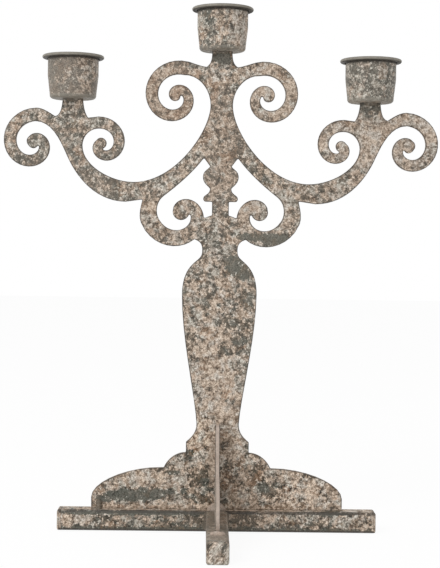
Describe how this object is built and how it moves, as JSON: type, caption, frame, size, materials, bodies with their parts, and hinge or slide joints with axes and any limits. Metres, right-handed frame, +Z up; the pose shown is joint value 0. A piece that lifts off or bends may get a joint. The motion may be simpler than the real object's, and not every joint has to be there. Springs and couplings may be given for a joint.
{
  "type": "candlestick",
  "caption": "Free-standing candelabrum cut from scrolled sheet steel on a cross of square tube, with flanged cups for taper candles.",
  "frame": {"origin": "on the ground, in the middle of the base cross", "axes": "+Z up, X along the scrolled sheet, -Y towards the viewer of the picture"},
  "size_m": [0.2064, 0.152, 0.249],
  "materials": {
    "scrolled_sheet": "distressed matt paint: beige and tan over grey, dark speckles",
    "base_tube": "distressed matt paint, darker on the corners",
    "candle_cup": "distressed matt paint on the body, even olive grey on the rim",
    "weld_metal": "painted weld beads, brown grey"
  },
  "bodies": {
    "root": {"scroll_plate": "scrolled_sheet", "front_fin": "scrolled_sheet", "rear_fin": "scrolled_sheet", "long_base_bar": "base_tube", "front_base_bar": "base_tube", "rear_base_bar": "base_tube", "left_end_cap": "base_tube", "right_end_cap": "base_tube", "front_end_cap": "base_tube", "rear_end_cap": "base_tube", "left_candle_cup": "candle_cup", "centre_candle_cup": "candle_cup", "right_candle_cup": "candle_cup", "cup_weld_beads": "weld_metal", "plate_toe_welds": "weld_metal", "fin_root_welds": "weld_metal", "fin_toe_welds": "weld_metal", "base_joint_welds": "weld_metal"}
  },
  "joints": []
}
